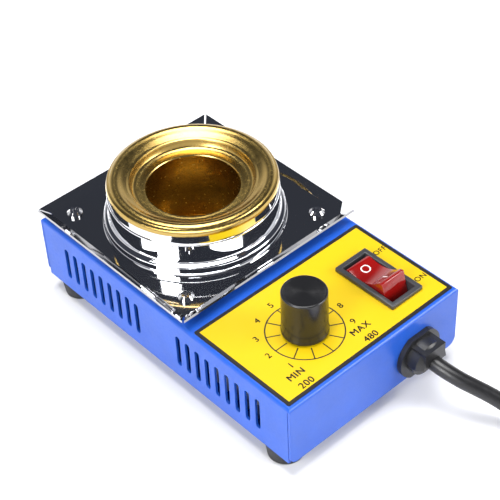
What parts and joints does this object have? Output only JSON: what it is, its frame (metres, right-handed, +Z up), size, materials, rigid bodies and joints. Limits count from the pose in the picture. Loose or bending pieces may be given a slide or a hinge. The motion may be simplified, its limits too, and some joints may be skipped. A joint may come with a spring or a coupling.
{
  "type": "solder pot",
  "caption": "Bench solder pot: a sheet metal case on rubber feet with a heated gold-coloured pot in a chrome collar over a polished drip tray, a numbered dial and a rocker switch.",
  "frame": {"origin": "on the surface that the feet stand on, under the middle of the case", "axes": "+Z up; +Y from the control end to the pot end; +X to the right as the dial's numbers are read"},
  "size_m": [0.095, 0.347, 0.0585],
  "materials": {
    "blue_paint": "satin powder coat",
    "plate_paint": "satin powder coat",
    "label": "printed film",
    "polished_steel": "mirror polished stainless sheet",
    "chrome": "bright chrome",
    "gold_metal": "turned and brushed",
    "zinc": "zinc plated",
    "steel": "bare strip",
    "rubber": "matt",
    "black_nylon": "fine moulded texture",
    "black_anodised": "black anodised, turned",
    "red_lens": "translucent moulded",
    "switch_black": "satin moulded",
    "brass": "plain",
    "fibre": "woven glass fibre",
    "ceramic": "fired ceramic",
    "board": "solder mask",
    "aluminium": "extruded",
    "component_black": "moulded",
    "component_orange": "dipped",
    "copper": "enamelled wire",
    "resistor": "lacquered",
    "wire_brown": "sleeved",
    "wire_blue": "sleeved",
    "wire_black": "sleeved",
    "wire_green": "sleeved",
    "cord": "smooth sheath"
  },
  "bodies": {
    "base": {"case_shell": "blue_paint", "base_plate": "plate_paint", "rubber_feet": "rubber", "foot_screws": "zinc", "foot_nuts": "zinc", "control_label": "label", "drip_tray": "polished_steel", "tray_screws": "zinc", "tray_spacers": "zinc", "tray_nuts": "zinc", "pot_collar": "chrome", "solder_pot": "gold_metal", "heater_band": "steel", "band_screw": "zinc", "band_nut": "zinc", "fibre_sleeve": "fibre", "ceramic_washer": "ceramic", "pot_bracket": "steel", "pot_nut": "zinc", "bracket_screws": "zinc", "bracket_nuts": "zinc", "potentiometer_body": "steel", "potentiometer_nut": "zinc", "switch_housing": "switch_black", "switch_terminals": "brass", "circuit_board": "board", "heat_sink": "aluminium", "triac": "component_black", "triac_screw": "zinc", "film_capacitor": "component_orange", "choke_coil": "copper", "resistors": "resistor", "cord_grip": "black_nylon", "cord_end": "cord", "live_wire": "wire_brown", "neutral_wire": "wire_blue", "switched_wire": "wire_black", "earth_wire": "wire_green", "heater_leads": "fibre", "earth_lug": "brass", "earth_screw": "zinc", "earth_nut": "zinc", "mains_cord": "cord", "cord_coil": "cord", "cord_tie": "black_nylon", "plug_body": "black_nylon", "plug_pins": "brass"},
    "dial": {"dial_knob": "black_anodised", "knob_set_screw": "steel", "potentiometer_shaft": "aluminium"},
    "rocker": {"switch_rocker": "red_lens"}
  },
  "joints": [
    {"name": "knob_turn", "type": "hinge", "parent": "base", "child": "dial", "pos_m": [-0.0123, -0.0465, 0.042], "axis": [0, 0, 1], "range_deg": [-226, 74]},
    {"name": "rocker_tilt", "type": "hinge", "parent": "base", "child": "rocker", "pos_m": [0.0247, -0.0469, 0.0315], "axis": [1, 0, 0], "range_deg": [0, 28]}
  ]
}
